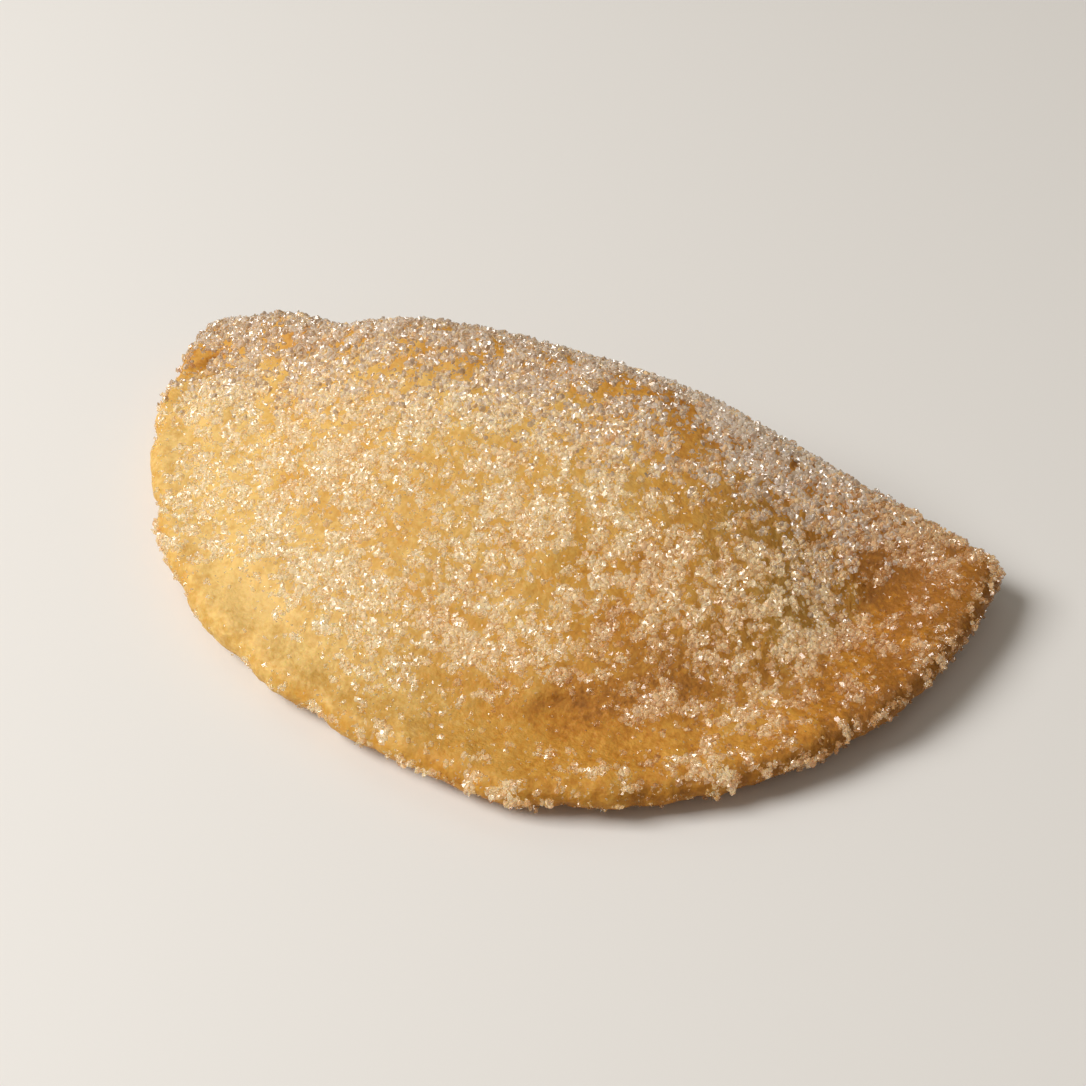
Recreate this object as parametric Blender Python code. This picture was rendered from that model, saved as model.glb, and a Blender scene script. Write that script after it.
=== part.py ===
"""Half-moon empanada: one solid of baked crust that rests on its own flat base.

Metres, +Z up. X runs along the fold, +Y is the folded side, -Y the sealed rim.
A round of dough is folded in half over its filling, so the plan is half a disc
with a rounded fold behind it and a thin pressed rim around the curve.
"""

import math

import bmesh
import bpy
import numpy as np

# The folded round of dough
DISC_RADIUS = 0.0700
FOLD_BULGE = 0.0072
FOLD_SQUARENESS = 2.3
# Heights
DOME_RISE = 0.0186
DOME_REACH = 0.0600
DOME_ROUNDNESS = 2.35
END_TAPER = 1.12
RIM_THICKNESS = 0.0052
# How far the underside rises off the table towards the rim
LIFT_FRONT = 0.0016
LIFT_TIP = 0.0032
LIFT_WIDTH = 0.0150
LIFT_CURVE = 1.3
TIP_DIRECTION = 14.0
TIP_SPREAD = 26.0
# The sealed rim, from its edge inwards to the foot of the dome
RIM_WIDTH = 0.0060
CREASE_SOFTNESS = 0.0024
SOFTER_FROM = 96.0
SOFTER_OVER = 30.0
# The fold runs along y = 0 and fades out towards both ends
FOLD_START = -0.0120
FOLD_BLEND = 0.0140
FOLD_HALF_LENGTH = 0.0660
FOLD_FADE = 0.0200
# Rounding of the edges
RIM_EDGE = 0.0026
FOLD_EDGE_TOP = 0.0125
FOLD_EDGE_BOTTOM = 0.0085
FOLD_MIDDLE = 0.37
# Mesh: columns round the outline, rings over each edge and on to the middle,
# where the columns keep upright to the fold before they draw together
AROUND = 180
EDGE_RINGS = 5
EDGE_SPREAD = 1.15
TOP_RINGS = 12
BOTTOM_RINGS = 5
RING_CROWDING = 1.1
SPINE = 0.5
FINE_STEPS = 700
MIDDLE_Y = -0.0300

# Where the half disc runs long or short: direction in degrees from the +X tip
# round by the front, half width in degrees, change of radius in metres
REACHES = (
    (14.0, 9.0, 0.0004),
    (29.0, 13.0, 0.0023),
    (50.0, 15.0, 0.0034),
    (71.0, 12.0, 0.0037),
    (112.0, 15.0, -0.0014),
    (142.0, 16.0, -0.0014),
)
# Where the flat rim is wider: direction, half width in degrees, added width
RIM_CHANGES = (
    (70.0, 26.0, 0.0070),
    (16.0, 14.0, 0.0060),
)
# Small notches between the lobes of the rim: direction, half width, depth
NOTCHES = (
    (33.5, 1.7, 0.0009),
    (68.0, 2.6, 0.0008),
    (99.5, 1.9, 0.0011),
    (112.0, 1.7, 0.0008),
    (128.0, 2.2, 0.0007),
    (143.5, 1.9, 0.0010),
    (157.0, 1.6, 0.0009),
    (169.0, 1.8, 0.0008),
)
# Swells and dents of the top: x, y, turn in degrees, two half sizes, height
SWELLS = (
    (-0.0550, 0.0000, 20.0, 0.0085, 0.0070, 0.0060),
    (-0.0440, 0.0010, 75.0, 0.0110, 0.0048, -0.0010),
    (-0.0310, -0.0080, 0.0, 0.0160, 0.0120, 0.0014),
    (0.0050, -0.0040, 0.0, 0.0240, 0.0130, 0.0020),
    (0.0540, 0.0010, 0.0, 0.0095, 0.0070, 0.0058),
    (0.0545, -0.0150, 62.0, 0.0130, 0.0040, -0.0015),
    (0.0615, -0.0110, 62.0, 0.0110, 0.0042, 0.0010),
    (0.0190, -0.0555, 12.0, 0.0130, 0.0045, -0.0012),
    (0.0300, -0.0420, 35.0, 0.0150, 0.0065, 0.0012),
    (-0.0080, -0.0500, -4.0, 0.0130, 0.0060, 0.0008),
    (-0.0560, -0.0220, -60.0, 0.0140, 0.0050, 0.0010),
    (-0.0440, -0.0380, -40.0, 0.0120, 0.0035, -0.0008),
    (-0.0600, -0.0060, -20.0, 0.0080, 0.0060, -0.0010),
)


def smooth_step(t):
    """Ease from 0 to 1 with level ends."""
    t = np.clip(t, 0.0, 1.0)
    return t * t * (3.0 - 2.0 * t)


def hump(offset, width):
    """A bell of height 1."""
    return np.exp(-((offset / width) ** 2))


def disc_radius(angle):
    """Reach of the dough from the middle of the fold, angle in radians."""
    degrees = np.degrees(angle)
    reach = np.full_like(degrees, DISC_RADIUS)
    for middle, width, change in REACHES:
        reach = reach + change * hump(degrees - middle, width)
    return reach


def rim_radius(angle):
    """Reach of the curved rim with the notches between its lobes."""
    degrees = np.degrees(angle)
    reach = disc_radius(angle)
    for middle, width, depth in NOTCHES:
        reach = reach - depth * hump(degrees - middle, width)
    return reach


def outline(count):
    """Plan of the crust, counter-clockwise, evenly spaced along its length."""
    front = np.linspace(0.0, math.pi, FINE_STEPS)
    reach = rim_radius(front)
    front_x = reach * np.cos(front)
    front_y = -reach * np.sin(front)
    back = np.linspace(math.pi, 0.0, FINE_STEPS)[1:-1]
    ends = rim_radius(np.array([0.0, math.pi]))
    half = np.where(np.cos(back) > 0.0, ends[0], ends[1])
    power = 2.0 / FOLD_SQUARENESS
    back_x = half * np.sign(np.cos(back)) * np.abs(np.cos(back)) ** power
    back_y = FOLD_BULGE * np.abs(np.sin(back)) ** power
    x = np.concatenate([front_x, back_x])[::-1]
    y = np.concatenate([front_y, back_y])[::-1]
    closed_x = np.append(x, x[0])
    closed_y = np.append(y, y[0])
    steps = np.hypot(np.diff(closed_x), np.diff(closed_y))
    along = np.concatenate([[0.0], np.cumsum(steps)])
    wanted = np.arange(count) * along[-1] / count
    return np.interp(wanted, along, closed_x), np.interp(wanted, along, closed_y)


def polar(x, y):
    """Direction and distance from the middle of the fold; 0 or 180 behind it."""
    angle = np.arctan2(np.maximum(-y, 0.0), x)
    return angle, np.hypot(x, y)


def edge_distance(x, y):
    """Distance in plan from each point to the outline."""
    px, py = outline(AROUND)
    nearest = np.full(x.shape, DISC_RADIUS)
    for i in range(AROUND):
        run_x = px[i] - px[i - 1]
        run_y = py[i] - py[i - 1]
        along = (x - px[i - 1]) * run_x + (y - py[i - 1]) * run_y
        along = np.clip(along / (run_x * run_x + run_y * run_y), 0.0, 1.0)
        gap = np.hypot(x - px[i - 1] - along * run_x, y - py[i - 1] - along * run_y)
        nearest = np.minimum(nearest, gap)
    return nearest


def fold_share(x, y):
    """1 along the fold, 0 along the pressed rim."""
    back = smooth_step((y - FOLD_START) / FOLD_BLEND)
    ends = smooth_step((FOLD_HALF_LENGTH - np.abs(x)) / FOLD_FADE)
    return back * ends


def lift(x, y):
    """Height of the underside above the table."""
    angle, distance = polar(x, y)
    inward = disc_radius(angle) - distance
    tip = hump(np.degrees(angle) - TIP_DIRECTION, TIP_SPREAD)
    rise = LIFT_FRONT + (LIFT_TIP - LIFT_FRONT) * tip
    return rise * smooth_step(1.0 - inward / LIFT_WIDTH) ** LIFT_CURVE


def rim_width(degrees):
    """Width of the flat rim outside the dome, for each direction."""
    width = np.full_like(degrees, RIM_WIDTH)
    for middle, spread, change in RIM_CHANGES:
        width = width + change * hump(degrees - middle, spread)
    return width


def crust_top(x, y):
    """Height of the outer crust before its edges are rounded."""
    angle, distance = polar(x, y)
    degrees = np.degrees(angle)
    inward = disc_radius(angle) - np.hypot(END_TAPER * x, y)
    width = rim_width(degrees)
    soft = CREASE_SOFTNESS * (1.0 + smooth_step((degrees - SOFTER_FROM) / SOFTER_OVER))
    climb = soft * np.logaddexp(0.0, (inward - width) / soft)
    share = np.clip(climb / (DOME_REACH - width), 0.0, 1.0)
    dome = DOME_RISE * (1.0 - (1.0 - share) ** DOME_ROUNDNESS)
    height = lift(x, y) + RIM_THICKNESS + dome
    for mid_x, mid_y, turn, long_size, short_size, rise in SWELLS:
        cosine = math.cos(math.radians(turn))
        sine = math.sin(math.radians(turn))
        along = (x - mid_x) * cosine + (y - mid_y) * sine
        across = (y - mid_y) * cosine - (x - mid_x) * sine
        height = height + rise * hump(along, long_size) * hump(across, short_size)
    return height


def rounded(distance, radius):
    """Quarter circle that closes a face over the given distance from an edge."""
    short = np.clip(1.0 - distance / radius, 0.0, 1.0)
    return np.sqrt(1.0 - short * short)


def edge_height(x, y):
    """Height at which top and underside meet."""
    fold = fold_share(x, y)
    thin = lift(x, y) + 0.5 * RIM_THICKNESS
    return thin + fold * (FOLD_MIDDLE * crust_top(x, y) - thin)


def top_height(x, y):
    """Outer crust with its edge rounded down to the meeting line."""
    fold = fold_share(x, y)
    radius = RIM_EDGE + fold * (FOLD_EDGE_TOP - RIM_EDGE)
    meet = edge_height(x, y)
    return meet + (crust_top(x, y) - meet) * rounded(edge_distance(x, y), radius)


def base_height(x, y):
    """Underside with its edge rounded up to the meeting line."""
    fold = fold_share(x, y)
    radius = RIM_EDGE + fold * (FOLD_EDGE_BOTTOM - RIM_EDGE)
    meet = edge_height(x, y)
    return meet - (meet - lift(x, y)) * rounded(edge_distance(x, y), radius)


def ring_shares(x, y):
    """Share of the way in from the edge to the middle, for each ring."""
    radius = EDGE_SPREAD * (RIM_EDGE + fold_share(x, y) * (FOLD_EDGE_TOP - RIM_EDGE))
    reach = np.hypot(x * (1.0 - SPINE), y - MIDDLE_Y)
    turns = np.linspace(0.0, math.pi / 2.0, EDGE_RINGS + 1)
    close = [radius * (1.0 - math.cos(turn)) / reach for turn in turns]
    shares = {}
    for side, rings in ((1, TOP_RINGS), (-1, BOTTOM_RINGS)):
        for k, share in enumerate(close):
            shares[side * k] = share
        for k in range(1, rings + 1):
            inward = (k / rings) ** RING_CROWDING
            shares[side * (EDGE_RINGS + k)] = close[-1] + (1.0 - close[-1]) * inward
    return shares


def crust_mesh():
    """The whole crust: a sphere pressed into the half moon, ring by ring."""
    upper = EDGE_RINGS + TOP_RINGS
    lower = EDGE_RINGS + BOTTOM_RINGS
    mesh = bmesh.new()
    bmesh.ops.create_uvsphere(mesh, u_segments=AROUND, v_segments=upper + lower, radius=1.0)
    edge_x, edge_y = outline(AROUND)
    shares = ring_shares(edge_x, edge_y)
    place = np.array([vertex.co[:] for vertex in mesh.verts])
    turn = np.arctan2(place[:, 1], place[:, 0])
    column = np.rint(turn / (2.0 * math.pi) * AROUND).astype(int) % AROUND
    fall = np.arccos(np.clip(place[:, 2], -1.0, 1.0)) / math.pi
    level = upper - np.rint(fall * (upper + lower)).astype(int)
    share = np.array([shares[k][c] for k, c in zip(level, column)])
    x = edge_x[column] * (1.0 - share) * (1.0 + SPINE * share)
    y = edge_y[column] + (MIDDLE_Y - edge_y[column]) * share
    z = np.where(level >= 0, top_height(x, y), base_height(x, y))
    for vertex, spot in zip(mesh.verts, zip(x, y, z)):
        vertex.co = spot
    bmesh.ops.triangulate(mesh, faces=mesh.faces[:], quad_method="SHORT_EDGE")
    centre_on_base(mesh)
    return mesh


def centre_on_base(mesh):
    """Put the origin under the middle of the crust, on the table."""
    low = [min(v.co[i] for v in mesh.verts) for i in range(3)]
    high = [max(v.co[i] for v in mesh.verts) for i in range(3)]
    shift = (-(low[0] + high[0]) / 2.0, -(low[1] + high[1]) / 2.0, -low[2])
    bmesh.ops.translate(mesh, vec=shift, verts=mesh.verts)


def pastry_material():
    """Golden baked dough."""
    material = bpy.data.materials.new("pastry")
    material.use_nodes = True
    shader = material.node_tree.nodes["Principled BSDF"]
    shader.inputs["Base Color"].default_value = (0.66, 0.40, 0.13, 1.0)
    shader.inputs["Roughness"].default_value = 0.55
    return material


def add_empanada():
    """The one solid of the part."""
    data = bpy.data.meshes.new("empanada")
    mesh = crust_mesh()
    mesh.to_mesh(data)
    mesh.free()
    data.materials.append(pastry_material())
    for face in data.polygons:
        face.use_smooth = True
    crust = bpy.data.objects.new("empanada", data)
    bpy.context.scene.collection.objects.link(crust)
    return crust


def clear_scene():
    """Start from an empty file."""
    for thing in list(bpy.data.objects):
        bpy.data.objects.remove(thing)


clear_scene()
add_empanada()
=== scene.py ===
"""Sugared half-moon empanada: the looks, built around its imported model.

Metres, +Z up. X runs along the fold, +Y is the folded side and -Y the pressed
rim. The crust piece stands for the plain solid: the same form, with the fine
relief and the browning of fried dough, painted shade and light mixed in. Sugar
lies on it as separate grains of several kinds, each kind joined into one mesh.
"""

import logging
import math
from dataclasses import dataclass
from enum import Enum

import bmesh
import bpy
import numpy as np
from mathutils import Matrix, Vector, noise


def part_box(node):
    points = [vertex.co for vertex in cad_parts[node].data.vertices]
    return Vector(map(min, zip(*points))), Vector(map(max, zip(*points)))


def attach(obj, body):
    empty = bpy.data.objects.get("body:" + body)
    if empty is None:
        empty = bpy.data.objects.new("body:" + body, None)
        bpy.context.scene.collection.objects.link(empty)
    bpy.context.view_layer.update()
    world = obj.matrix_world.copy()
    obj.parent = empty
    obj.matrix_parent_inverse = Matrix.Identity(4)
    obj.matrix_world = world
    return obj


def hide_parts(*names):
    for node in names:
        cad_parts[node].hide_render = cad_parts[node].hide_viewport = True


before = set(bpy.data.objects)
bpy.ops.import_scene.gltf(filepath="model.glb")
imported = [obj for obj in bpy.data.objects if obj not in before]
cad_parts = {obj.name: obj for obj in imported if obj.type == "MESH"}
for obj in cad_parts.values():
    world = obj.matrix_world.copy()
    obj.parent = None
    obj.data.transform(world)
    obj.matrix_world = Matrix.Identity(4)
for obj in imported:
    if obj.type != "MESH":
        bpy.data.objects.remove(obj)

NODE = "empanada"
BODY = "root"
MM = 0.001
FOLD_BULGE = 7.2 * MM
LOG = logging.getLogger("empanada")


def smooth_step(t: np.ndarray) -> np.ndarray:
    """Ease from 0 to 1 with level ends."""
    t = np.clip(t, 0.0, 1.0)
    return t * t * (3.0 - 2.0 * t)


def cloud(points: np.ndarray, size: float, octaves: int = 3, shift: float = 0.0) -> np.ndarray:
    """Fractal noise at each point.

    Args:
        points: Places, one row each.
        size: Width of the largest lumps.
        octaves: How many finer layers it holds.
        shift: Moves the pattern, so that two uses of it differ.

    Returns:
        One value for each point, about -1 to 1.
    """
    move = Vector((shift, 1.7 * shift, -shift))
    spots = points / size
    values = [noise.fractal(Vector(spot) + move, 0.9, 2.0, octaves) for spot in spots]
    return np.array(values)


def cells(points: np.ndarray, size: float, shift: float = 0.0) -> tuple[np.ndarray, np.ndarray]:
    """Distances to the nearest two of a set of scattered centres.

    Args:
        points: Places, one row each.
        size: Mean spacing of the centres.
        shift: Moves the pattern.

    Returns:
        Nearest and second nearest distance, in units of the spacing.
    """
    move = Vector((shift, -shift, 2.3 * shift))
    spots = points / size
    found = [noise.voronoi(Vector(spot) + move)[0] for spot in spots]
    pairs = np.array([(near[0], near[1]) for near in found])
    return pairs[:, 0], pairs[:, 1]


@dataclass(frozen=True)
class Spot:
    """A soft oval place on the crust, seen from above.

    x and y are millimetres from the middle of the fold, y falling towards the
    rim; turn is the direction of its long half, in degrees.
    """

    x: float
    y: float
    long: float
    short: float
    turn: float
    amount: float

    def weigh(self, plan: np.ndarray) -> np.ndarray:
        """Amount that this spot adds at each point of the plan, in metres."""
        cosine = math.cos(math.radians(self.turn))
        sine = math.sin(math.radians(self.turn))
        across_x = plan[:, 0] / MM - self.x
        across_y = plan[:, 1] / MM - self.y
        along = (across_x * cosine + across_y * sine) / self.long
        aside = (across_y * cosine - across_x * sine) / self.short
        return self.amount * np.exp(-(along**2) - aside**2)


def total(spots: tuple[Spot, ...], plan: np.ndarray) -> np.ndarray:
    """Sum of what all spots add at each point of the plan."""
    return sum((spot.weigh(plan) for spot in spots), np.zeros(len(plan)))


@dataclass(frozen=True)
class Surface:
    """A triangle mesh as arrays, for placing things on it."""

    points: np.ndarray
    normals: np.ndarray
    triangles: np.ndarray

    @staticmethod
    def of(mesh: bpy.types.Mesh) -> "Surface":
        """Read a mesh's points, normals and triangles."""
        points = np.zeros(3 * len(mesh.vertices))
        mesh.vertices.foreach_get("co", points)
        normals = np.zeros(3 * len(mesh.vertices))
        mesh.vertices.foreach_get("normal", normals)
        mesh.calc_loop_triangles()
        corners = np.zeros(3 * len(mesh.loop_triangles), dtype=int)
        mesh.loop_triangles.foreach_get("vertices", corners)
        return Surface(points.reshape(-1, 3), normals.reshape(-1, 3), corners.reshape(-1, 3))

    def scatter(self, count: int, draw: np.random.Generator) -> "Scatter":
        """Even random places over the whole surface.

        Args:
            count: How many places.
            draw: Seeded random source.

        Returns:
            The places.
        """
        a, b, c = (self.points[self.triangles[:, i]] for i in range(3))
        area = np.linalg.norm(np.cross(b - a, c - a), axis=1)
        pick = np.searchsorted(np.cumsum(area), draw.uniform(0.0, area.sum(), count))
        pick = np.minimum(pick, len(area) - 1)
        u = np.sqrt(draw.uniform(size=count))
        v = draw.uniform(size=count)
        shares = np.column_stack([1.0 - u, u * (1.0 - v), u * v])
        return Scatter(self.triangles[pick], shares)


@dataclass(frozen=True)
class Scatter:
    """Places on a triangle mesh: the corners of each one's triangle and its share of them."""

    corners: np.ndarray
    shares: np.ndarray

    def read(self, values: np.ndarray) -> np.ndarray:
        """Blend values that the mesh's points hold.

        Args:
            values: A number or a vector for each point of the mesh.

        Returns:
            The same for each place.
        """
        shares = self.shares if values.ndim == 1 else self.shares[:, :, None]
        return (values[self.corners] * shares).sum(axis=1)

    def keep(self, chosen: np.ndarray) -> "Scatter":
        """Only the chosen places."""
        return Scatter(self.corners[chosen], self.shares[chosen])


class Nodes:
    """Adds and links the shader nodes of one material."""

    def __init__(self, name: str) -> None:
        """Start a material with its Principled shader."""
        self.material = bpy.data.materials.new(name)
        self.material.use_nodes = True
        self.tree = self.material.node_tree
        self.shader = self.tree.nodes["Principled BSDF"]

    def feed(self, socket: bpy.types.NodeSocket, value: object) -> None:
        """Link a socket to another, or set its plain value."""
        if isinstance(value, bpy.types.NodeSocket):
            self.tree.links.new(value, socket)
        else:
            socket.default_value = value

    def add(self, kind: str, inputs: dict[str, object], **settings: object) -> bpy.types.Node:
        """Add a node.

        Args:
            kind: Node type without its ShaderNode prefix.
            inputs: Values or sockets for its inputs.
            settings: Its own settings.

        Returns:
            The new node.
        """
        node = self.tree.nodes.new("ShaderNode" + kind)
        for name, value in settings.items():
            setattr(node, name, value)
        for name, value in inputs.items():
            self.feed(node.inputs[name], value)
        return node

    def math(self, operation: str, first: object, second: object = 0.0) -> bpy.types.NodeSocket:
        """Number worked out from two others."""
        return self.add("Math", {0: first, 1: second}, operation=operation).outputs[0]

    def vector(self, operation: str, first: object, second: object) -> bpy.types.NodeSocket:
        """Vector worked out from two others."""
        return self.add("VectorMath", {0: first, 1: second}, operation=operation).outputs[0]

    def fade(
        self, value: object, start: float, end: float, low: float = 0.0, high: float = 1.0
    ) -> bpy.types.NodeSocket:
        """Number that goes smoothly from low to high as value goes from start to end."""
        inputs = {"Value": value, "From Min": start, "From Max": end, "To Min": low, "To Max": high}
        return self.add("MapRange", inputs, interpolation_type="SMOOTHSTEP").outputs["Result"]

    def blend(self, share: object, first: object, second: object) -> bpy.types.NodeSocket:
        """Colour mixed from two others."""
        mix = self.add("Mix", {0: share}, data_type="RGBA")
        self.feed(mix.inputs[6], first)
        self.feed(mix.inputs[7], second)
        return mix.outputs[2]

    def spread(self, name: str) -> bpy.types.NodeSocket:
        """Value of one of the mesh's own attributes."""
        return self.add("Attribute", {}, attribute_name=name).outputs["Fac"]

    def mottle(self, where: object, size: float, detail: float) -> bpy.types.NodeSocket:
        """Soft noise, 0 to 1, with lumps of one size."""
        inputs = {"Vector": where, "Scale": 1.0 / size, "Detail": detail}
        return self.add("TexNoise", inputs).outputs["Fac"]


@dataclass(frozen=True)
class DoughFinish:
    """Golden fried dough."""

    stops: tuple[tuple[float, tuple[float, float, float]], ...] = (
        (0.00, (0.770, 0.510, 0.170)),
        (0.28, (0.625, 0.360, 0.084)),
        (0.55, (0.600, 0.296, 0.045)),
        (0.80, (0.480, 0.197, 0.021)),
        (1.00, (0.315, 0.120, 0.013)),
    )
    mottle_size: float = 1.0 * MM
    mottle: float = 0.42
    skin_size: float = 0.7 * MM
    skin_depth: float = 0.32 * MM
    rough: float = 0.45
    glow_depth: float = 0.9 * MM

    def tint(self, bake: float) -> np.ndarray:
        """Colour of dough at this level of browning and painted shade."""
        places = [place for place, _ in self.stops]
        colours = np.array([colour for _, colour in self.stops])
        return np.array([np.interp(bake, places, colours[:, i]) for i in range(3)])

    def material(self) -> bpy.types.Material:
        """Build the dough's material, which reads the bake attribute: browning with painted shade in it."""
        nodes = Nodes("fried_dough")
        where = nodes.add("TexCoord", {}).outputs["Object"]
        swing = nodes.math("SUBTRACT", nodes.mottle(where, self.mottle_size, 5.0), 0.5)
        swing = nodes.math("MULTIPLY", swing, 2.0 * self.mottle)
        ramp = nodes.add("ValToRGB", {"Fac": nodes.math("ADD", nodes.spread("bake"), swing)})
        elements = ramp.color_ramp.elements
        while len(elements) < len(self.stops):
            elements.new(0.5)
        for element, (place, colour) in zip(elements, self.stops):
            element.position = place
            element.color = (*colour, 1.0)
        height = nodes.mottle(where, self.skin_size, 5.0)
        bump = {"Strength": 0.7, "Distance": self.skin_depth, "Height": height}
        inputs = nodes.shader.inputs
        nodes.feed(inputs["Base Color"], ramp.outputs["Color"])
        nodes.feed(inputs["Normal"], nodes.add("Bump", bump).outputs["Normal"])
        inputs["Roughness"].default_value = self.rough
        inputs["Specular IOR Level"].default_value = 0.15
        inputs["Subsurface Weight"].default_value = 0.20
        inputs["Subsurface Radius"].default_value = (1.0, 0.45, 0.14)
        inputs["Subsurface Scale"].default_value = self.glow_depth
        return nodes.material


@dataclass(frozen=True)
class SugarFinish:
    """Sugar crystals: each takes on some of the dough that it lies on, a heaped one less."""

    levels: tuple[float, ...] = (0.10, 0.30, 0.50, 0.70, 0.90)
    white: tuple[float, float, float] = (0.985, 0.755, 0.515)
    lone_share: tuple[float, float] = (0.16, 0.90)
    heap_share: tuple[float, float] = (0.03, 0.60)
    # Painted shade: darker, greyer tints for grains along the fold, where the slope turns away from the light.
    crest_shade: tuple[tuple[float, float, float], ...] = (
        (0.45, 0.350, 0.255),
        (0.62, 0.523, 0.430),
    )
    lone_body: float = 0.48
    heap_body: float = 0.76
    glow: float = 0.75
    glow_depth: float = 0.8 * MM
    rough: float = 0.08
    shine: float = 1.0
    bend: float = 1.50

    def materials(self, dough: DoughFinish) -> list[bpy.types.Material]:
        """Build the materials of lone grains, heaped grains and darker ones along the fold for painted shade.

        Args:
            dough: Finish of the dough below.

        Returns:
            The materials in the order of a grain's slots.
        """
        tints = []
        for shares in (self.lone_share, self.heap_share):
            for level in self.levels:
                share = np.interp(level, (0.0, 1.0), shares)
                tints.append(share * dough.tint(level) + (1.0 - share) * np.array(self.white))
        tints += [np.array(tint) for tint in self.crest_shade]
        lone = len(self.levels)
        return [
            self.crystal(f"sugar_{i}", tint, self.lone_body if i < lone else self.heap_body)
            for i, tint in enumerate(tints)
        ]

    def crystal(self, name: str, tint: np.ndarray, body: float) -> bpy.types.Material:
        """Build the material of crystals of one tint.

        Args:
            name: Name of the material.
            tint: Its colour.
            body: How little shows through.

        Returns:
            The finished material.
        """
        nodes = Nodes(name)
        inputs = nodes.shader.inputs
        inputs["Base Color"].default_value = (*tint, 1.0)
        inputs["Alpha"].default_value = body
        inputs["Subsurface Weight"].default_value = self.glow
        inputs["Subsurface Radius"].default_value = (1.0, 0.8, 0.55)
        inputs["Subsurface Scale"].default_value = self.glow_depth
        inputs["Roughness"].default_value = self.rough
        inputs["IOR"].default_value = self.bend
        inputs["Specular IOR Level"].default_value = self.shine
        return nodes.material

    def slots(
        self, bake: np.ndarray, heaped: np.ndarray, crest_shade: np.ndarray, draw: np.random.Generator
    ) -> np.ndarray:
        """Choose a material for each grain.

        Args:
            bake: How far the dough below is browned, with its painted shade.
            heaped: Chance that the grain lies in a heap.
            crest_shade: Chance that it has the darker tint of painted shade along the fold.
            draw: Seeded random source.

        Returns:
            Slot numbers.
        """
        steps = len(self.levels)
        level = np.floor((bake + draw.normal(0.0, 0.09, len(bake))) * steps)
        slot = np.clip(level, 0, steps - 1).astype(int)
        in_heap = draw.uniform(size=len(bake)) < heaped
        slot += steps * in_heap
        crest_shaded = draw.uniform(size=len(bake)) < crest_shade
        return np.where(crest_shaded, 2 * steps + in_heap, slot)


class GrainShape(Enum):
    """Shapes of a sugar grain, by how many corners each has."""

    SHARD = 5
    CHIP = 7
    CRYSTAL = 11

    def template(self, draw: np.random.Generator) -> tuple[np.ndarray, np.ndarray]:
        """Model one grain of about unit size.

        Args:
            draw: Seeded random source.

        Returns:
            Its points and its triangles.
        """
        ball = bmesh.new()
        bmesh.ops.create_icosphere(ball, subdivisions=1, radius=0.55)
        around = [vertex.co.copy() for vertex in ball.verts]
        ball.free()
        grain = bmesh.new()
        for i in draw.choice(len(around), self.value, replace=False):
            grain.verts.new([value * (1.0 + draw.uniform(-0.2, 0.2)) for value in around[i]])
        bmesh.ops.convex_hull(grain, input=grain.verts[:])
        grain.verts.index_update()
        points = np.array([vertex.co[:] for vertex in grain.verts])
        triangles = np.array([[vertex.index for vertex in face.verts] for face in grain.faces])
        grain.free()
        return points - points.mean(axis=0), triangles


@dataclass(frozen=True)
class GrainKind:
    """One kind of sugar grain: its shape, size and how it lies."""

    name: str
    shape: GrainShape
    count: int
    smallest: float
    largest: float
    clumping: float
    pile: float
    heaped: float
    tilt: float
    seed: int


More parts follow.
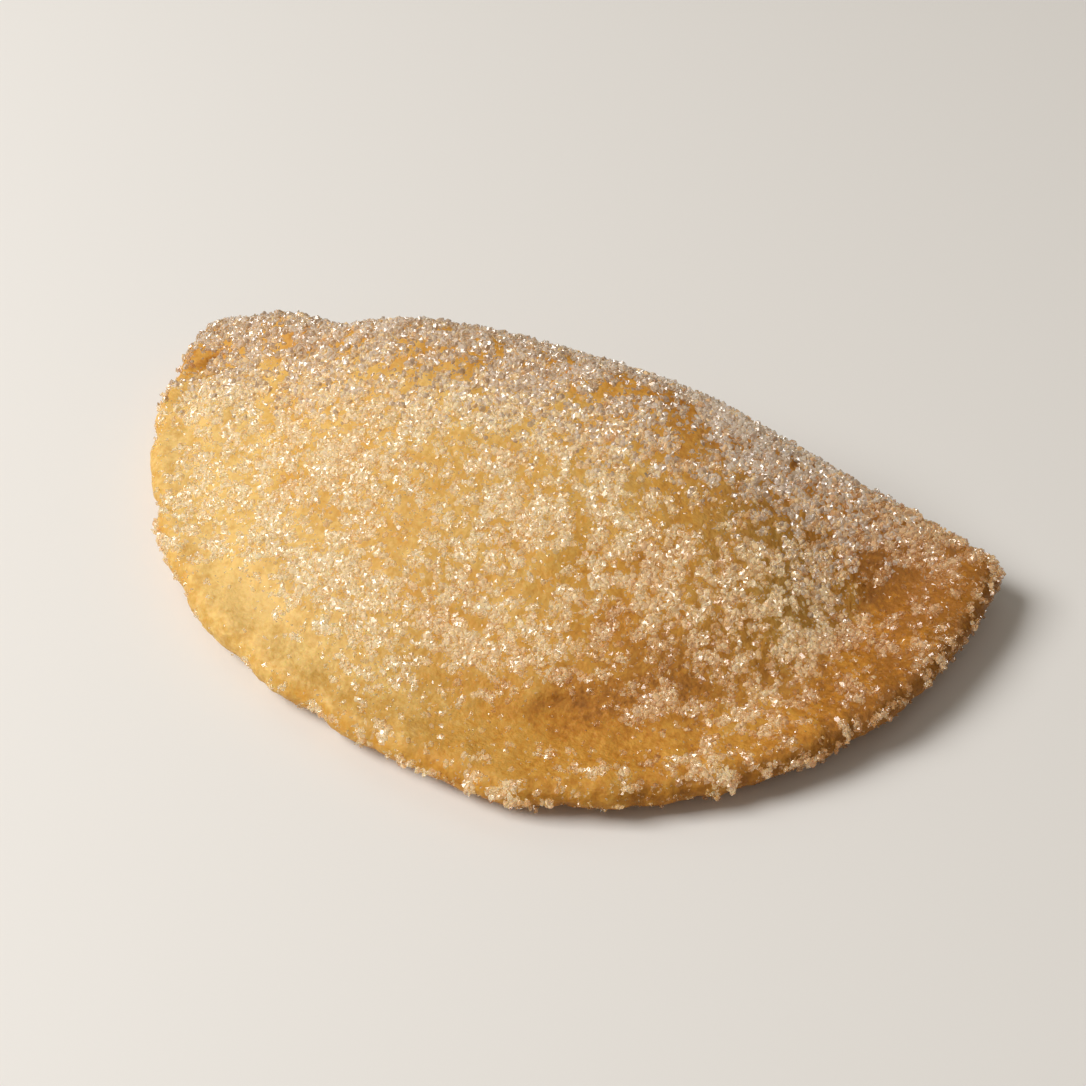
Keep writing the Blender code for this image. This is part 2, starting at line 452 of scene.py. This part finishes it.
@dataclass
class Crust:
    """The baked half moon of dough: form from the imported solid, skin from relief."""

    voxel: float = 0.52 * MM
    smoothing: int = 7
    lump: float = 0.24 * MM
    dimple: float = 0.15 * MM
    grain: float = 0.06 * MM
    blister: float = 0.16 * MM
    wrinkle: float = 0.28 * MM
    ragged: float = 0.35 * MM
    fill: float = 1.5 * MM
    rim_band: float = 3.0 * MM
    pale: float = 0.26
    finish: DoughFinish = DoughFinish()
    browning_and_shade_spots: tuple[Spot, ...] = (
        Spot(22.7, -53.9, 9.0, 4.5, 25.0, 0.21),
        Spot(9.0, -57.6, 10.0, 3.0, 0.0, 0.14),
        Spot(34.4, -46.0, 9.0, 4.0, 45.0, 0.22),
        Spot(26.4, -43.2, 6.0, 4.0, 20.0, 0.25),
        Spot(55.0, -15.0, 15.0, 5.0, 80.0, 0.08),
        Spot(67.1, -24.3, 12.0, 3.0, 62.0, 0.28),
        Spot(65.0, -7.0, 9.0, 8.0, 0.0, 0.24),
        Spot(-63.4, -8.3, 3.2, 2.2, 60.0, 0.30),
        Spot(-62.0, -14.1, 5.0, 3.5, 70.0, 0.18),
        Spot(0.0, -51.0, 15.0, 7.0, 0.0, 0.12),
        Spot(56.8, -30.8, 12.0, 7.0, 55.0, 0.06),
        Spot(35.0, -40.0, 10.0, 8.0, 30.0, 0.06),
        # These four paler spots are painted light over slopes in shade: the dome's right flank and the valley
        # inside the left and front rim.
        Spot(41.0, -18.0, 9.0, 10.0, 0.0, -0.05),
        Spot(-35.0, -52.0, 16.0, 5.0, -38.0, -0.17),
        Spot(-57.0, -32.0, 9.0, 4.0, -62.0, -0.08),
        Spot(46.0, -23.0, 8.0, 7.0, 0.0, -0.10),
    )
    pits: tuple[Spot, ...] = (
        Spot(-63.4, -8.3, 2.4, 1.1, 70.0, -1.0),
        Spot(-60.4, -7.0, 1.6, 0.9, 70.0, -0.8),
        Spot(22.7, -53.9, 5.0, 1.6, 20.0, -0.5),
        Spot(54.0, -22.0, 3.0, 1.8, 60.0, -0.4),
    )

    def __post_init__(self) -> None:
        """Read the fold line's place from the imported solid."""
        low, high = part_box(NODE)
        self.fold_y = high.y - FOLD_BULGE
        self.low = low
        self.high = high

    def plan(self, points: np.ndarray) -> np.ndarray:
        """Places seen from above, from the middle of the fold, in metres."""
        return points[:, :2] - np.array([0.0, self.fold_y])

    def inward(self, plan: np.ndarray) -> np.ndarray:
        """Distance in from the curved rim at each point of the plan."""
        turn = np.degrees(np.arctan2(np.maximum(-plan[:, 1], 0.0), plan[:, 0]))
        return np.interp(turn, self.rim_turns, self.rim_reach) - np.hypot(plan[:, 0], plan[:, 1])

    def measure_rim(self, points: np.ndarray) -> None:
        """Note how far the rim reaches in every direction.

        Args:
            points: The crust's own points.
        """
        plan = self.plan(points)
        front = plan[plan[:, 1] < 0.0]
        turn = np.degrees(np.arctan2(-front[:, 1], front[:, 0]))
        self.rim_turns = np.arange(0.0, 181.0, 1.0)
        self.rim_reach = np.zeros(len(self.rim_turns))
        near = np.rint(turn).astype(int)
        np.maximum.at(self.rim_reach, near, np.hypot(front[:, 0], front[:, 1]))

    def form(self) -> bpy.types.Mesh:
        """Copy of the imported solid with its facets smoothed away.

        Returns:
            An even, fine mesh of the plain form.
        """
        shape = bmesh.new()
        shape.from_mesh(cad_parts[NODE].data)
        bmesh.ops.remove_doubles(shape, verts=shape.verts[:], dist=0.01 * MM)
        rough = bpy.data.meshes.new("rough_form")
        shape.to_mesh(rough)
        shape.free()
        body = bpy.data.objects.new("rough_form", rough)
        bpy.context.scene.collection.objects.link(body)
        soften = body.modifiers.new("soften", "SUBSURF")
        soften.levels = 1
        soften.render_levels = 1
        even = body.modifiers.new("even", "REMESH")
        even.mode = "VOXEL"
        even.voxel_size = self.voxel
        smooth = body.modifiers.new("smooth", "SMOOTH")
        smooth.factor = 0.5
        smooth.iterations = self.smoothing
        shown = body.evaluated_get(bpy.context.evaluated_depsgraph_get())
        made = bpy.data.meshes.new_from_object(shown)
        bpy.data.objects.remove(body)
        return made

    def relief(self, surface: Surface) -> np.ndarray:
        """How far the skin stands out of the plain form.

        Args:
            surface: The plain form.

        Returns:
            Metres along the surface's direction for each point.
        """
        points = surface.points
        plan = self.plan(points)
        inward = self.inward(plan)
        front = smooth_step(-plan[:, 1] / (10.0 * MM))
        rim = np.exp(-((inward / self.rim_band) ** 2)) * front
        height = self.lump * cloud(points, 11.0 * MM, 2)
        height += self.dimple * cloud(points, 3.6 * MM, 3, 5.0)
        height += self.grain * cloud(points, 1.2 * MM, 2, 9.0)
        near, second = cells(points, 2.7 * MM)
        chosen = smooth_step(4.0 * cloud(points, 9.0 * MM, 1, 3.0))
        height += self.blister * smooth_step(1.3 * (second - near)) * chosen
        height += self.wrinkle * self.wrinkles(plan, inward)
        left = smooth_step((12.0 - plan[:, 0] / MM) / 36.0) * front
        height += self.fill * left * np.exp(-(((inward / MM - 11.0) / 5.0) ** 2))
        height += self.ragged * rim * (cloud(points, 4.0 * MM, 3, 7.0) + 0.2)
        height += MM * total(self.pits, plan) * (surface.normals[:, 2] > 0.0)
        return height

    def wrinkles(self, plan: np.ndarray, inward: np.ndarray) -> np.ndarray:
        """Shallow folds that run out across the pressed rim.

        Args:
            plan: Places from above.
            inward: Their distance in from the rim.

        Returns:
            About -1 to 1, and 0 away from the rim.
        """
        turn = np.arctan2(np.maximum(-plan[:, 1], 0.0), plan[:, 0])
        flat = np.column_stack([plan, np.zeros(len(plan))])
        sway = cloud(flat, 14.0 * MM, 2, 11.0)
        waves = np.sin(46.0 * turn + 5.0 * sway) * (0.5 + 0.5 * sway)
        return waves * smooth_step(1.0 - inward / (13.0 * MM)) * smooth_step(inward / (1.5 * MM))

    def browning_and_shade(self, surface: Surface, height: np.ndarray) -> np.ndarray:
        """How far each place is baked, 0 pale to 1 dark, with painted shade along the fold and in hollows and
        painted light over some shaded slopes.

        Args:
            surface: The finished form.
            height: Its relief.

        Returns:
            One value for each point.
        """
        plan = self.plan(surface.points)
        inward = self.inward(plan)
        front = smooth_step(-plan[:, 1] / (6.0 * MM))
        bake = np.full(len(plan), self.pale)
        bake += 0.34 * smooth_step((plan[:, 0] / MM + 14.0) / 58.0)
        bake += 0.29 * smooth_step((plan[:, 0] / MM - 46.0) / 16.0)
        # Painted shade: browner along the fold crest, where the surface turns away from the light.
        bake += 0.30 * smooth_step((plan[:, 1] / MM + 19.0) / 17.0)
        near_front = smooth_step((plan[:, 0] / MM + 30.0) / 40.0) * front
        bake += 0.08 * near_front * smooth_step(1.0 - inward / (16.0 * MM))
        bake += total(self.browning_and_shade_spots, plan)
        bake += 0.12 * np.exp(-((inward / (0.9 * MM)) ** 2)) * front
        bake += 0.07 * cloud(surface.points, 12.0 * MM, 2, 21.0)
        bake += 0.12 * cloud(surface.points, 3.4 * MM, 3, 23.0)
        # Painted shade in the hollows of the relief and painted light on its lumps.
        bake -= 0.12 * np.clip(height / self.lump, -1.0, 1.0)
        under = smooth_step(-surface.normals[:, 2] / 0.6)
        bake += 0.20 * under
        return np.clip(bake, 0.0, 1.0)

    def build(self) -> bpy.types.Object:
        """Make the crust's mesh and note its surface.

        Returns:
            The crust, without its finish.
        """
        mesh = self.form()
        plain = Surface.of(mesh)
        self.measure_rim(plain.points)
        above = smooth_step((plain.points[:, 2] - self.low.z) / (1.6 * MM))
        height = self.relief(plain) * above
        points = plain.points + plain.normals * height[:, None]
        points[:, 2] = np.maximum(points[:, 2], self.low.z)
        mesh.vertices.foreach_set("co", points.ravel())
        mesh.update()
        mesh.shade_smooth()
        self.height = height
        self.surface = Surface.of(mesh)
        mesh.name = "crust"
        crust = bpy.data.objects.new("crust", mesh)
        bpy.context.scene.collection.objects.link(crust)
        return crust

    def dress(self, crust: bpy.types.Object) -> None:
        """Give the crust its browning, painted shade included, and its material.

        Args:
            crust: The piece.
        """
        self.bake = self.browning_and_shade(self.surface, self.height)
        made = crust.data.attributes.new("bake", "FLOAT", "POINT")
        made.data.foreach_set("value", self.bake.astype(np.float32))
        crust.data.materials.clear()
        crust.data.materials.append(self.finish.material())
        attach(crust, BODY)
        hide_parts(NODE)


@dataclass
class SugarCoat:
    """The sugar strewn over a crust, thick in drifts and clumps and thin between."""

    crust: Crust
    finish: SugarFinish = SugarFinish()
    templates: int = 12
    tries: int = 8
    drifts_and_painted_light: tuple[Spot, ...] = (
        Spot(-56.8, -19.0, 7.0, 5.0, 60.0, 0.25),
        Spot(-38.0, -18.5, 8.0, 6.0, 0.0, 0.28),
        Spot(-16.5, -21.3, 8.0, 5.0, 10.0, 0.12),
        Spot(-29.0, -31.0, 7.0, 5.0, -20.0, 0.18),
        Spot(-46.4, -44.8, 8.0, 5.0, -40.0, 0.24),
        Spot(0.5, -15.3, 9.0, 6.0, 0.0, 0.28),
        Spot(0.9, -33.1, 9.0, 6.0, 0.0, 0.22),
        Spot(27.6, -36.2, 9.0, 6.0, 20.0, 0.34),
        Spot(50.1, -25.5, 8.0, 3.0, 60.0, 0.26),
        Spot(-4.9, -52.9, 8.0, 4.0, 0.0, 0.20),
        Spot(8.6, -50.6, 6.0, 4.0, 0.0, 0.22),
        Spot(35.1, -48.4, 5.0, 3.0, 30.0, 0.30),
        Spot(-16.9, -49.8, 7.0, 4.0, 0.0, 0.20),
        Spot(57.4, -1.0, 9.0, 6.0, 0.0, 0.24),
        Spot(35.9, -7.1, 12.0, 7.0, 0.0, 0.22),
        Spot(67.2, -20.2, 9.0, 4.0, 65.0, 0.25),
        Spot(53.4, -50.7, 9.0, 4.0, 50.0, 0.20),
        Spot(-29.9, -10.9, 14.0, 6.0, 0.0, 0.08),
        # Painted light: more sugar here lightens the shaded valley between the dome and the right flange.
        Spot(46.0, -23.0, 7.0, 6.0, 0.0, 0.16),
    )
    bare: tuple[Spot, ...] = (
        Spot(-9.1, -30.1, 6.0, 4.0, 0.0, -0.20),
        Spot(66.5, -5.0, 6.0, 4.0, 0.0, -0.12),
        Spot(-32.3, -55.1, 12.0, 6.0, -35.0, -0.34),
        Spot(-17.8, -60.2, 10.0, 5.0, -20.0, -0.38),
        Spot(23.0, -55.5, 11.0, 5.5, 20.0, -0.42),
        Spot(-6.5, -42.5, 6.0, 5.0, 0.0, -0.15),
        Spot(36.5, -54.0, 7.0, 4.0, 35.0, -0.28),
        Spot(-27.6, -15.2, 4.0, 3.0, 0.0, -0.15),
        Spot(56.4, -9.0, 5.0, 3.0, 80.0, -0.45),
        Spot(14.0, -64.0, 16.0, 5.5, 5.0, -0.36),
        Spot(9.2, -40.8, 6.0, 5.0, 0.0, -0.15),
        Spot(-58.0, -33.0, 10.0, 5.0, -60.0, -0.14),
    )

    def cover(self, points: np.ndarray, normals: np.ndarray) -> np.ndarray:
        """Broad share of the crust that sugar hides.

        Args:
            points: Places on the crust.
            normals: The surface's direction there.

        Returns:
            0 to 1 for each place.
        """
        plan = self.crust.plan(points)
        inward = self.crust.inward(plan)
        share = 0.455 + 0.025 * smooth_step((10.0 - plan[:, 0] / MM) / 30.0)
        share += total(self.drifts_and_painted_light, plan) + total(self.bare, plan)
        share += 0.22 * smooth_step((plan[:, 1] / MM + 13.0) / 13.0)
        share -= 0.03 * smooth_step((plan[:, 0] / MM - 20.0) / 20.0)
        share -= 0.09 * smooth_step((plan[:, 0] / MM - 50.0) / 14.0)
        left = smooth_step((10.0 - plan[:, 0] / MM) / 30.0)
        rim = smooth_step(1.0 - inward / (9.0 * MM)) * (plan[:, 1] < 0.0)
        share -= (0.08 + 0.18 * left) * rim
        under = smooth_step((0.1 - normals[:, 2]) / 0.9)
        share -= 0.55 * under
        return np.clip(share, 0.0, 1.0)

    def clumps(self, points: np.ndarray) -> np.ndarray:
        """Pattern of clumps and gaps, about -1 to 1."""
        pattern = 0.9 * cloud(points, 1.9 * MM, 2, 31.0)
        return pattern + 0.5 * cloud(points, 7.0 * MM, 2, 37.0)

    def depth(self, points: np.ndarray, normals: np.ndarray) -> np.ndarray:
        """How deep in a clump each place is, 0 at its edge."""
        return (self.clumps(points) - (0.5 - self.cover(points, normals)) * 1.5) / 0.45

    def weight(self, points: np.ndarray, normals: np.ndarray, clumping: float) -> np.ndarray:
        """Chance of a grain at each place.

        Args:
            points: Places on the crust.
            normals: The surface's direction there.
            clumping: 0 for evenly strewn grains, 1 for grains only in clumps.

        Returns:
            0 to 1 for each place.
        """
        gathered = smooth_step(0.5 + self.depth(points, normals))
        strewn = 0.04 + 0.5 * self.cover(points, normals)
        chance = clumping * gathered + (1.0 - clumping) * strewn
        close = (points[:, 2] - self.crust.low.z) / MM
        resting = (normals[:, 2] < 0.0) & (close < 1.2)
        return np.where(resting, 0.0, chance)

    def __post_init__(self) -> None:
        """Make the sugar's materials."""
        self.materials = self.finish.materials(self.crust.finish)

    def turns(self, facing: np.ndarray, tilt: float, draw: np.random.Generator) -> np.ndarray:
        """Rotation matrices that lay each grain down, a little askew.

        Args:
            facing: The crust's direction at each grain.
            tilt: How far askew.
            draw: Seeded random source.

        Returns:
            One matrix for each grain.
        """
        up = facing + draw.normal(0.0, tilt, facing.shape)
        up /= np.linalg.norm(up, axis=1)[:, None]
        side = np.cross(up, draw.normal(size=facing.shape))
        side /= np.linalg.norm(side, axis=1)[:, None]
        return np.stack([side, np.cross(up, side), up], axis=2)

    def places(
        self, kind: GrainKind, draw: np.random.Generator
    ) -> tuple[np.ndarray, np.ndarray, np.ndarray, np.ndarray]:
        """Choose where a kind's grains lie.

        Args:
            kind: The kind of grain.
            draw: Seeded random source.

        Returns:
            Their middles, the crust's direction there, their sizes and material slots.
        """
        surface = self.crust.surface
        spots = surface.scatter(kind.count * self.tries, draw)
        chance = self.weight(spots.read(surface.points), spots.read(surface.normals), kind.clumping)
        pick = draw.choice(len(chance), kind.count, replace=False, p=chance / chance.sum())
        spots, chance = spots.keep(pick), chance[pick]
        size = kind.smallest + (kind.largest - kind.smallest) * draw.beta(1.6, 2.4, kind.count)
        thick = chance**2 * draw.uniform(size=kind.count) ** 2
        rise = size * draw.uniform(0.05, 0.40, kind.count) + kind.pile * thick
        facing = spots.read(surface.normals)
        facing /= np.linalg.norm(facing, axis=1)[:, None]
        place = spots.read(surface.points)
        heaped = kind.heaped * smooth_step((self.depth(place, facing) + 0.1) / 1.3)
        plan = self.crust.plan(place) / MM
        # Painted shade: share of grains along the fold that take the darker tints.
        crest_shade = smooth_step((plan[:, 1] + 27.0) / 24.0) * smooth_step((62.0 - plan[:, 0]) / 30.0)
        slots = self.finish.slots(spots.read(self.crust.bake), heaped, 0.9 * crest_shade, draw)
        return place + facing * rise[:, None], facing, size, slots

    def build(self, kind: GrainKind) -> bpy.types.Object:
        """Make all grains of one kind as one mesh.

        Args:
            kind: The kind of grain.

        Returns:
            The finished piece.
        """
        draw = np.random.default_rng(kind.seed)
        middles, facing, sizes, slots = self.places(kind, draw)
        flatness = np.column_stack(
            [
                np.ones(kind.count),
                draw.uniform(0.70, 1.0, kind.count),
                draw.uniform(0.45, 0.85, kind.count),
            ]
        )
        turns = self.turns(facing, kind.tilt, draw)
        points, triangles, used, faced = [], [], 0, []
        for share in np.array_split(np.arange(kind.count), self.templates):
            shape, faces = kind.shape.template(draw)
            sized = shape[None] * (sizes[share, None] * flatness[share])[:, None, :]
            turned = np.einsum("gij,gvj->gvi", turns[share], sized)
            points.append((turned + middles[share][:, None, :]).reshape(-1, 3))
            steps = used + np.arange(len(share)) * len(shape)
            triangles.append((faces[None] + steps[:, None, None]).reshape(-1, 3))
            faced.append(np.repeat(slots[share], len(faces)))
            used += len(share) * len(shape)
        joined = np.concatenate(points)
        joined[:, 2] = np.maximum(joined[:, 2], self.crust.low.z)
        mesh = joined_mesh(kind.name, joined, np.concatenate(triangles))
        for material in self.materials:
            mesh.materials.append(material)
        mesh.polygons.foreach_set("material_index", np.concatenate(faced))
        grains = bpy.data.objects.new(kind.name, mesh)
        bpy.context.scene.collection.objects.link(grains)
        grains.visible_shadow = False
        grains.visible_diffuse = False
        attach(grains, BODY)
        return grains


def joined_mesh(name: str, points: np.ndarray, triangles: np.ndarray) -> bpy.types.Mesh:
    """Mesh of many small flat-faced pieces.

    Args:
        name: The mesh's name.
        points: All corners.
        triangles: Three corners for each face.

    Returns:
        The mesh.
    """
    mesh = bpy.data.meshes.new(name)
    mesh.vertices.add(len(points))
    mesh.vertices.foreach_set("co", points.ravel())
    mesh.loops.add(triangles.size)
    mesh.loops.foreach_set("vertex_index", triangles.ravel())
    mesh.polygons.add(len(triangles))
    mesh.polygons.foreach_set("loop_start", np.arange(0, triangles.size, 3))
    mesh.update()
    mesh.validate()
    mesh.shade_flat()
    return mesh


@dataclass
class Studio:
    """Pale floor, soft light from the left and the camera."""

    floor_side: float = 6.0
    floor_gap: float = 0.05 * MM
    target: tuple[float, float, float] = (6.75 * MM, 3.0 * MM, 12.0 * MM)
    view_turn: float = 25.6
    view_height: float = 43.5
    view_distance: float = 0.384
    view_angle: float = 24.0
    glints: tuple[tuple[float, float], ...] = (
        (150.0, 40.0),
        (268.0, 35.0),
        (330.0, 45.0),
        (60.0, 50.0),
    )

    def add_floor(self, level: float) -> bpy.types.Object:
        """Plain pale floor just under the crust."""
        grid = bmesh.new()
        bmesh.ops.create_grid(grid, x_segments=1, y_segments=1, size=self.floor_side / 2.0)
        bmesh.ops.translate(grid, vec=(0.0, 0.0, level - self.floor_gap), verts=grid.verts[:])
        mesh = bpy.data.meshes.new("floor")
        grid.to_mesh(mesh)
        grid.free()
        floor = bpy.data.objects.new("floor", mesh)
        bpy.context.scene.collection.objects.link(floor)
        nodes = Nodes("pale_floor")
        nodes.shader.inputs["Base Color"].default_value = (0.80, 0.79, 0.77, 1.0)
        nodes.shader.inputs["Roughness"].default_value = 0.6
        mesh.materials.append(nodes.material)
        return floor

    def add_light(
        self,
        name: str,
        turn: float,
        height: float,
        distance: float,
        side: float,
        power: float,
        colour: tuple[float, float, float],
    ) -> bpy.types.Object:
        """Square soft light aimed at the crust.

        Args:
            name: The light's name.
            turn: Its direction round the crust from +X, in degrees.
            height: Its height above the floor, in degrees.
            distance: How far off it stands.
            side: Its width.
            power: Its power in watts.
            colour: Its colour.

        Returns:
            The light.
        """
        data = bpy.data.lights.new(name, "AREA")
        data.size = side
        data.energy = power
        data.color = colour
        light = bpy.data.objects.new(name, data)
        around, up = math.radians(turn), math.radians(height)
        way = Vector((math.cos(up) * math.cos(around), math.cos(up) * math.sin(around), math.sin(up)))
        light.location = Vector(self.target) + distance * way
        light.rotation_euler = way.to_track_quat("Z", "Y").to_euler()
        bpy.context.scene.collection.objects.link(light)
        return light

    def add_sky(self) -> None:
        """Even pale light from all round."""
        world = bpy.data.worlds.new("studio")
        world.use_nodes = True
        shade = world.node_tree.nodes["Background"]
        shade.inputs["Color"].default_value = (1.0, 0.87, 0.70, 1.0)
        shade.inputs["Strength"].default_value = 0.20
        bpy.context.scene.world = world

    def add_camera(self) -> bpy.types.Object:
        """Camera that looks down at the front of the crust from the right."""
        data = bpy.data.cameras.new("camera")
        data.sensor_fit = "HORIZONTAL"
        data.angle = math.radians(self.view_angle)
        data.clip_start = 0.01
        camera = bpy.data.objects.new("camera", data)
        turn, up = math.radians(self.view_turn), math.radians(self.view_height)
        way = Vector((math.cos(up) * math.sin(turn), -math.cos(up) * math.cos(turn), math.sin(up)))
        camera.location = Vector(self.target) + self.view_distance * way
        camera.rotation_euler = way.to_track_quat("Z", "Y").to_euler()
        bpy.context.scene.collection.objects.link(camera)
        bpy.context.scene.camera = camera
        return camera

    def build(self, level: float) -> None:
        """Set floor, lights, sky and camera.

        Args:
            level: Height of the floor.
        """
        self.add_floor(level)
        self.add_light("key", 208.0, 44.0, 1.20, 0.62, 15.7, (1.0, 0.98, 0.955))
        self.add_light("fill", -70.0, 50.0, 1.00, 0.90, 0.5, (1.0, 0.98, 0.96))
        for step, (turn, height) in enumerate(self.glints):
            lamp = self.add_light(f"glint_{step}", turn, height, 1.20, 0.30, 3.6, (1.0, 0.98, 0.96))
            lamp.visible_diffuse = False
        self.add_sky()
        self.add_camera()
        bpy.context.scene.view_settings.view_transform = "Standard"


KINDS = (
    GrainKind("sugar_fine", GrainShape.SHARD, 33000, 0.38 * MM, 0.72 * MM, 0.64, 0.20 * MM, 0.60, 0.35, 3),
    GrainKind("sugar_small", GrainShape.CHIP, 19500, 0.52 * MM, 0.98 * MM, 0.88, 0.4 * MM, 0.80, 0.45, 5),
    GrainKind("sugar_large", GrainShape.CHIP, 19500, 0.68 * MM, 1.20 * MM, 0.92, 0.7 * MM, 1.00, 0.60, 7),
    GrainKind("sugar_coarse", GrainShape.CRYSTAL, 10500, 0.85 * MM, 1.35 * MM, 0.92, 0.6 * MM, 0.90, 0.60, 11),
)


def main() -> None:
    """Build the crust, its sugar and the studio, and report each piece."""
    logging.basicConfig(level=logging.INFO, format="%(message)s")
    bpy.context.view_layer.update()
    crust = Crust()
    shell = crust.build()
    crust.dress(shell)
    coat = SugarCoat(crust)
    LOG.info("%s: %d faces", shell.name, len(shell.data.polygons))
    for kind in KINDS:
        grains = coat.build(kind)
        LOG.info("%s: %d faces", grains.name, len(grains.data.polygons))
    Studio().build(crust.low.z)


if __name__ == "__main__":
    main()
